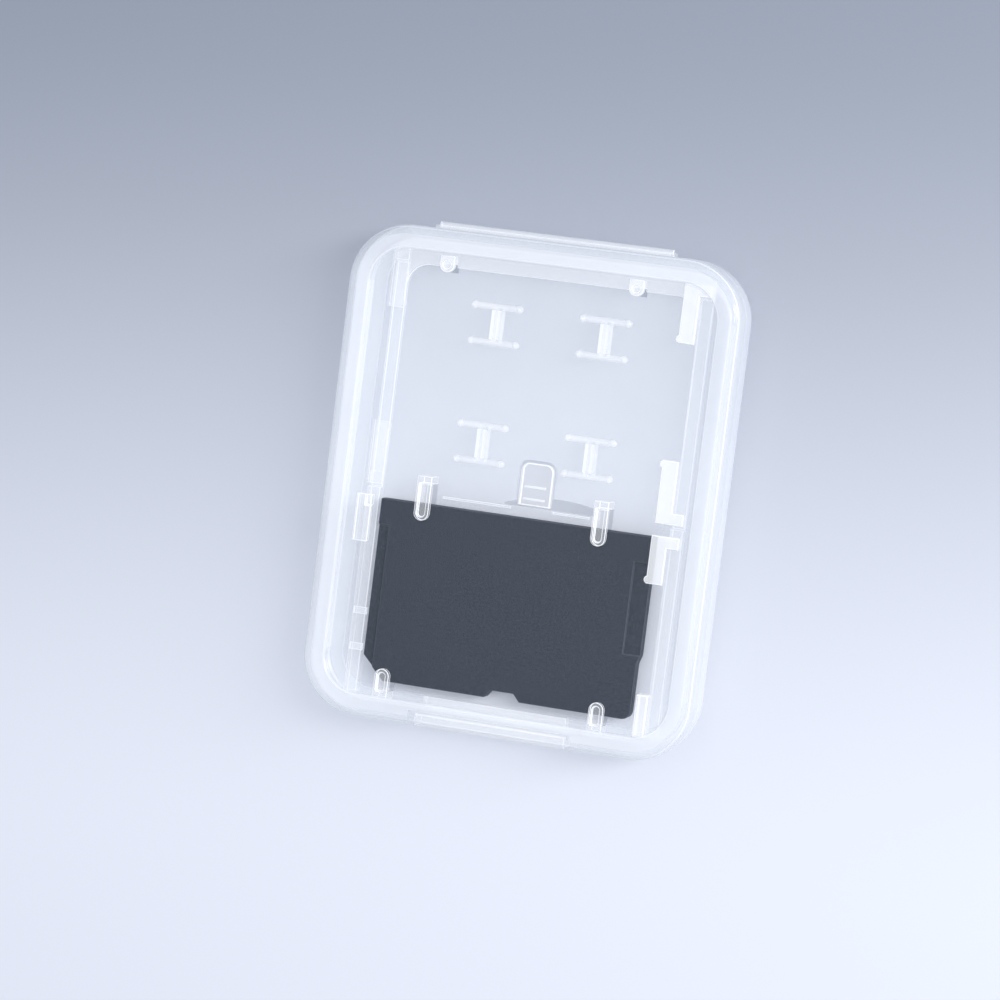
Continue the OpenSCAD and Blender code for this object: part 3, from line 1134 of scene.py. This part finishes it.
@dataclass
class RearHalf(SubAssembly):
    """Rear shell with its window and the openings in it."""

    finger_width: float = 1.65
    finger_windows: tuple[Triple, ...] = (
        (-11.15, -1.27, -5.27),
        (8.85, -1.27, -5.27),
        (-13.35, -24.52, -22.02),
        (11.05, -24.52, -22.02),
        (-11.8, 22.83, 21.93),
        (9.5, 22.83, 21.93),
    )
    tongue_x: float = 0.65
    tongue_low: float = -2.37
    tongue_tip: float = 2.53
    tongue_half: float = 1.85
    tongue_corner: float = 0.9
    slot: float = 0.3
    thumb: Point = (-3.3, 7.6)
    thumb_rise: float = 1.3
    thumb_radius: float = 18.5
    thumb_blunt: float = 0.15
    thumb_crest: float = 0.42
    overcut: float = 0.05

    def build(self) -> None:
        """Build and dress the rear shell."""
        # The rear half's painted highlight strip is fainter.
        shell = HalfShell(self.sizes, painted_glint=0.2).build("rear_half")
        soften(cut(shell, self._openings()), 0.07)
        finish_piece(shell, self.finishes.frosted, Body.TRAY, ["rear_shell"])

    def _openings(self) -> list[Thing]:
        """Make the prisms for the fingers' windows, the thumb opening and the tongue's slot.

        Returns:
            The cutting prisms.
        """
        low, high = self.sizes.recess - self.overcut, self.sizes.floor + self.overcut
        half = self.finger_width / 2
        made = []
        for i, (x, leg, tip) in enumerate(self.finger_windows):
            points = rectangle(x - half, min(leg, tip), x + half, max(leg, tip))
            made.append(prism(f"finger_window_{i}", points, low, high))
        made.append(prism("thumb_opening", self._thumb_arch(), low, high))
        points = rounded_bar(
            self.tongue_x,
            self.tongue_low,
            self.tongue_tip + self.slot,
            self.tongue_half + self.slot,
            self.tongue_corner + self.slot,
        )
        made.append(prism("tongue_slot", points, low, high))
        return made

    def _thumb_arch(self) -> list[Point]:
        """Follow the flat arch of the thumb opening.

        Returns:
            Its points, anticlockwise.
        """
        left, right = self.thumb
        crest = self.tongue_x + self.thumb_crest * (right - self.tongue_x)
        centre = self.tongue_low + self.thumb_rise - self.thumb_radius
        arc = []
        for i in range(ARC_POINTS):
            x = right + (left - right) * i / (ARC_POINTS - 1)
            y = centre + math.sqrt(self.thumb_radius**2 - (x - crest) ** 2)
            if y > self.tongue_low + self.thumb_blunt:
                arc.append((x, y))
        return [(arc[-1][0], self.tongue_low), (right, self.tongue_low), *arc]


@dataclass
class Tongue(SubAssembly):
    """Sprung release tongue in the rear window, with two low ribs for the fingertip."""

    x: float = 0.65
    low: float = -2.25
    tip: float = 2.53
    half: float = 1.85
    corner: float = 0.9
    rib_width: float = 2.4
    rib_depth: float = 0.28
    rib_rise: float = 0.14
    ribs: Point = (-0.1, -1.45)

    def build(self) -> None:
        """Build the tongue and its ribs."""
        s = self.sizes
        points = rounded_bar(self.x, self.low, self.tip, self.half, self.corner)
        plate = soften(prism("tongue_plate", points, s.recess, s.floor), 0.16)
        finish_piece(
            plate, self.finishes.prong, Body.TONGUE, ["release_tongue"]
        )
        tree = box_row(
            "tongue_ribs",
            len(self.ribs),
            (self.rib_width, self.rib_depth, 2 * self.rib_rise),
            (self.x, self.ribs[0], s.floor),
            self.ribs[1] - self.ribs[0],
            0.3,
        )
        ribs = soften(tree.grow("tongue_ribs", self.finishes.prong), 0.06, 0.6)
        finish_piece(ribs, self.finishes.prong, Body.TONGUE)


@dataclass
class Rails(SubAssembly):
    """Rails, ledges, rests, stops and the closing lip on the rear shell's floor."""

    rounds: tuple[tuple[str, float, float], ...] = (
        ("closing_lip", 0.1, 0.12),
        ("left_rail", 0.1, 0.5),
        ("right_rail", 0.12, 0.35),
        ("middle_ledge", 0.06, 0.7),
        ("card_rests", 0.04, 0.5),
        ("corner_stop_left", 0.07, 0.6),
    )

    def build(self) -> None:
        """Build and dress each member."""
        for member, width, milk in self.rounds:
            self.refine(member, Body.TRAY, Slot.FROSTED, self.finishes.ribs, width, milk)
        bright = self.finishes.bright
        self.refine("top_ledge", Body.TRAY, Slot.FROSTED, self.finishes.film, 0.07, 1.0, True)
        # The stop on the right takes the lit copy of the plastic: painted light from the right
        # key.
        self.refine("corner_stop_right", Body.TRAY, Slot.FROSTED, bright, 0.16, 1.0)


@dataclass
class FrontHalf(SubAssembly):
    """Front shell with its window and the gap for the snap tab."""

    gap_width: float = 18.4
    gap_depth: float = 1.7
    overcut: float = 1.0

    def build(self) -> None:
        """Build and dress the front half."""
        s = self.sizes
        shell = HalfShell(s, front=True).build("front_half")
        half, y = self.gap_width / 2, s.latch_y
        gap = rectangle(-half, y - self.overcut, half, y + self.gap_depth)
        low, high = s.thickness / 2 - self.overcut, s.thickness + self.overcut
        gap_prism = prism("snap_gap", gap, low, high)
        soften(cut(shell, [gap_prism]), 0.1)
        finish_piece(shell, self.finishes.clear, Body.LID, ["front_shell"])


@dataclass
class Hinge(SubAssembly):
    """Film hinge: a bead on the turning axis and a leaf on each half."""

    def build(self) -> None:
        """Build and dress the bead and its leaves."""
        prong = self.finishes.prong
        self.refine("hinge_bead", Body.TRAY, Slot.CLEAR, self.finishes.film, 0.05, 1.0)
        self.refine("rear_hinge_leaf", Body.TRAY, Slot.CLEAR, prong, 0.06, 0.9)
        self.refine("front_hinge_leaf", Body.LID, Slot.CLEAR, prong, 0.06, 0.9)


@dataclass
class Snap(SubAssembly):
    """Snap at the latch end: the sprung tab with its rib, and the keeper of the front."""

    def build(self) -> None:
        """Build and dress the snap."""
        prong = self.finishes.prong
        self.refine("latch_tab", Body.LATCH, Slot.CLEAR, prong, 0.1, 0.35)
        self.refine("latch_rib", Body.LATCH, Slot.CLEAR, prong, 0.05, 0.3)
        self.refine("latch_keeper", Body.LID, Slot.CLEAR, prong, 0.08, 0.3)


@dataclass
class Fingers(SubAssembly):
    """Six fingers over the cards, the side hooks and the plain arm."""

    finger_round: float = 0.08
    hook_round: float = 0.12

    def build(self) -> None:
        """Build and dress the fingers and hooks."""
        prong, bright = self.finishes.prong, self.finishes.bright
        for member in sorted(self.nodes):
            if member.startswith("top_finger_"):
                self.refine(
                    member, Body.TRAY, Slot.CLEAR, bright, self.finger_round, 1.0, True
                )
            elif "_finger_" in member:
                self.refine(member, Body.TRAY, Slot.CLEAR, prong, self.finger_round, 1.0)
            # The hooks on the right take the lit copy of the plastic: painted light from the
            # right key.
            elif member.endswith("hook_right"):
                self.refine(member, Body.TRAY, Slot.CLEAR, bright, self.hook_round, 1.0, True)
            elif "hook" in member or member == "card_guide_left":
                self.refine(member, Body.TRAY, Slot.CLEAR, prong, self.hook_round, 0.85)


@dataclass
class Posts(SubAssembly):
    """Four posts, each a lying I: two rods with ball ends on an upright web."""

    centre_x: float = 0.45
    centre_y: float = 10.43
    pitch_x: float = 12.2
    pitch_y: float = 13.0
    rod_length: float = 6.0
    rod_radius: float = 0.42
    rod_height: float = 3.35
    rod_offset: float = 1.95
    ball_radius: float = 0.5
    web_width: float = 1.05
    web_top: float = 3.55
    facets: int = 24
    rod_milk: float = 0.14
    ball_milk: float = 0.15
    web_milk: Point = (0.08, 0.45)

    def build(self) -> None:
        """Grow the four posts and let them stand for their nodes."""
        posts = smooth_by_area(self._tree().grow("posts", self.finishes.prong))
        members = [n for n in sorted(self.nodes) if n.startswith("post_")]
        finish_piece(posts, self.finishes.prong, Body.TRAY, members)

    def _tree(self) -> GeometryTree:
        """Build the tree: one post, put on the points of a grid.

        Returns:
            The closed tree.
        """
        floor = self.sizes.floor
        span = self.rod_length / 2 - self.ball_radius
        tree = GeometryTree(
            "lying_posts",
            {
                "Rod Start": (-span, 0.0, 0.0),
                "Rod End": (span, 0.0, 0.0),
                "Rod Radius": self.rod_radius,
                "Ball Radius": self.ball_radius,
                "Rod Low": (0.0, -self.rod_offset, self.rod_height),
                "Rod Step": (0.0, 2 * self.rod_offset, 0.0),
                "Web Size": (self.web_width, 2 * self.rod_offset, self.web_top - floor),
                "Web Place": (0.0, 0.0, (self.web_top + floor) / 2),
                "Pitch X": self.pitch_x,
                "Pitch Y": self.pitch_y,
                "Centre": (self.centre_x, self.centre_y, 0.0),
            },
        )
        line = tree.add("GeometryNodeCurvePrimitiveLine")
        tree.size("Rod Start", line, "Start")
        tree.size("Rod End", line, "End")
        ring = tree.add("GeometryNodeCurvePrimitiveCircle", Resolution=self.facets)
        tree.size("Rod Radius", ring, "Radius")
        rod = tree.add("GeometryNodeCurveToMesh", Fill_Caps=True)
        tree.link(line, rod, "Curve")
        tree.link(ring, rod, "Profile Curve")
        ball = tree.add("GeometryNodeMeshUVSphere", Segments=self.facets, Rings=14)
        tree.size("Ball Radius", ball, "Radius")
        ends = tree.line("Rod Start", "Rod End", "END_POINTS")
        balls = tree.repeat(ends, tree.store_milk(ball, self.ball_milk))
        bar = tree.add("GeometryNodeJoinGeometry")
        tree.link(tree.store_milk(rod, self.rod_milk), bar, "Geometry")
        tree.link(balls, bar, "Geometry")
        bars = tree.repeat(tree.line("Rod Low", "Rod Step"), bar)
        web = tree.move(self._striped_web(tree), "Web Place")
        post = tree.add(
            "GeometryNodeMeshBoolean", solver="EXACT", operation="UNION", Self_Intersection=True
        )
        whole = next(i for i, s in enumerate(post.inputs) if s.is_multi_input)
        tree.link(tree.realize(bars), post, whole)
        tree.link(web, post, whole)
        grid = tree.add("GeometryNodeMeshGrid", Vertices_X=2, Vertices_Y=2)
        tree.size("Pitch X", grid, "Size X")
        tree.size("Pitch Y", grid, "Size Y")
        tree.close(tree.move(tree.repeat(grid, post), "Centre"))
        return tree

    def _striped_web(self, tree: GeometryTree) -> Node:
        """Make the web, clear in its middle third and milky at its sides.

        Args:
            tree: Tree that the web belongs to.

        Returns:
            The node that has the web.
        """
        web = tree.add("GeometryNodeMeshCube", Vertices_X=4)
        tree.size("Web Size", web, "Size")
        place = tree.add("GeometryNodeInputPosition")
        across = tree.add("ShaderNodeSeparateXYZ")
        tree.link(place, across, "Vector")
        side = tree.add("ShaderNodeMath", operation="ABSOLUTE")
        tree.link(across, side, 0)
        middle = self.web_width / 3 * MM
        stripe = tree.spread(side, *self.web_milk, From_Max=middle)
        striped = tree.store_milk(web, 0.0)
        tree.link(stripe, striped, "Value")
        return striped


@dataclass
class MemoryCard(SubAssembly):
    """Dark card in the wide bay with its row of contacts."""

    contacts: int = 10
    contact_size: Triple = (3.6, 1.1, 0.1)
    contact_x: float = -12.85
    contact_span: Point = (-20.02, -6.92)
    contact_z: float = 2.1

    def build(self) -> None:
        """Build and dress the covers and the contacts."""
        for member in ("card_front_cover", "card_back_cover"):
            # Milkiness 0.14 on the card's rounds sets the strength of their painted highlight.
            self.refine(member, Body.CARD, Slot.CARD, self.finishes.card, 0.08, 0.14)
        low, high = self.contact_span
        tree = box_row(
            "contact_row",
            self.contacts,
            self.contact_size,
            (self.contact_x, low, self.contact_z),
            (high - low) / (self.contacts - 1),
            0.0,
        )
        pads = soften(tree.grow("contact_row", self.finishes.metal), 0.03, 0.0)
        finish_piece(pads, self.finishes.metal, Body.CARD, ["card_contacts"])


# --------------------------------------------------------------------------- studio


@dataclass
class Studio:
    """Pale floor, soft lights and the camera of the photograph."""

    lens: float = 126.8
    sensor: float = 36.0
    distance: float = 383.0
    target: Triple = (-2.69, -1.86, 3.5)
    azimuth: float = 14.91
    elevation: float = 4.21
    roll: float = -7.07
    floor_drop: float = 0.03
    air: Colour = (0.80, 0.86, 0.97, 1.0)
    air_strength: float = 0.55
    see_through: int = 40

    def build(self) -> None:
        """Set up floor, lights, world and camera."""
        self._floor()
        self._world()
        self._light("overhead_soft", (0.05, 0.12, 0.55), (0.6, 0.6), 0.87)
        self._light("right_key", (0.40, 0.14, 0.30), (0.12, 0.45), 1.85)
        self._light("left_fill", (-0.5, -0.15, 0.35), (0.5, 0.5), 0.3)
        self._camera()

    def _floor(self) -> None:
        """Lay the floor under the case."""
        work = bmesh.new()
        bmesh.ops.create_grid(work, x_segments=24, y_segments=24, size=1.5)
        mesh = bpy.data.meshes.new("floor")
        work.to_mesh(mesh)
        work.free()
        floor = place_mesh("floor", mesh)
        floor.data.transform(Matrix.Translation((0.0, 0.0, -self.floor_drop * MM)))
        floor.data.materials.append(FloorFinish().build())

    def _world(self) -> None:
        """Give the studio its even pale surroundings."""
        world = bpy.data.worlds.new("studio")
        bpy.context.scene.world = world
        world.use_nodes = True
        back = world.node_tree.nodes["Background"]
        back.inputs["Color"].default_value = self.air
        back.inputs["Strength"].default_value = self.air_strength
        bpy.context.scene.view_settings.view_transform = "Standard"
        bpy.context.scene.cycles.transparent_max_bounces = self.see_through

    def _light(
        self,
        name: str,
        place: Triple,
        size: Point,
        power: float,
    ) -> None:
        """Hang one soft light that faces the case.

        Args:
            name: Name of the light.
            place: Its place in metres.
            size: Its width and length in metres.
            power: Its power in watts.
        """
        data = bpy.data.lights.new(name, "AREA")
        data.shape = "RECTANGLE"
        data.size, data.size_y = size
        data.energy = power
        lamp = bpy.data.objects.new(name, data)
        lamp.location = place
        lamp.rotation_euler = (-Vector(place)).to_track_quat("-Z", "Y").to_euler()
        bpy.context.scene.collection.objects.link(lamp)

    def _camera(self) -> None:
        """Place the camera where the photograph was taken from."""
        az, el, roll = (math.radians(a) for a in (self.azimuth, self.elevation, self.roll))
        back = Vector((math.sin(az) * math.cos(el), math.sin(el), math.cos(az) * math.cos(el)))
        right = (-back).cross(Vector((0, 1, 0))).normalized()
        up = right.cross(-back)
        turned_right = right * math.cos(roll) - up * math.sin(roll)
        turned_up = right * math.sin(roll) + up * math.cos(roll)
        data = bpy.data.cameras.new("photo_camera")
        data.lens = self.lens
        data.sensor_width = self.sensor
        data.clip_start = 0.01
        data.clip_end = 10.0
        camera = bpy.data.objects.new("photo_camera", data)
        place = Vector(self.target) * MM + back * self.distance * MM
        camera.matrix_world = Matrix.Translation(place) @ Matrix(
            (turned_right, turned_up, back)
        ).transposed().to_4x4()
        bpy.context.scene.collection.objects.link(camera)
        bpy.context.scene.camera = camera


def main() -> None:
    """Load the frame, build every sub-assembly over it and set up the studio."""
    logging.basicConfig(level=logging.INFO, format="%(message)s")
    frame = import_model()
    nodes = dict(frame["nodes"])
    finishes = Finishes()
    Studio().build()
    for part in (RearHalf, Rails, Tongue, Posts, Fingers, FrontHalf, Hinge, Snap, MemoryCard):
        part(finishes, nodes).build()


if __name__ == "__main__":
    main()
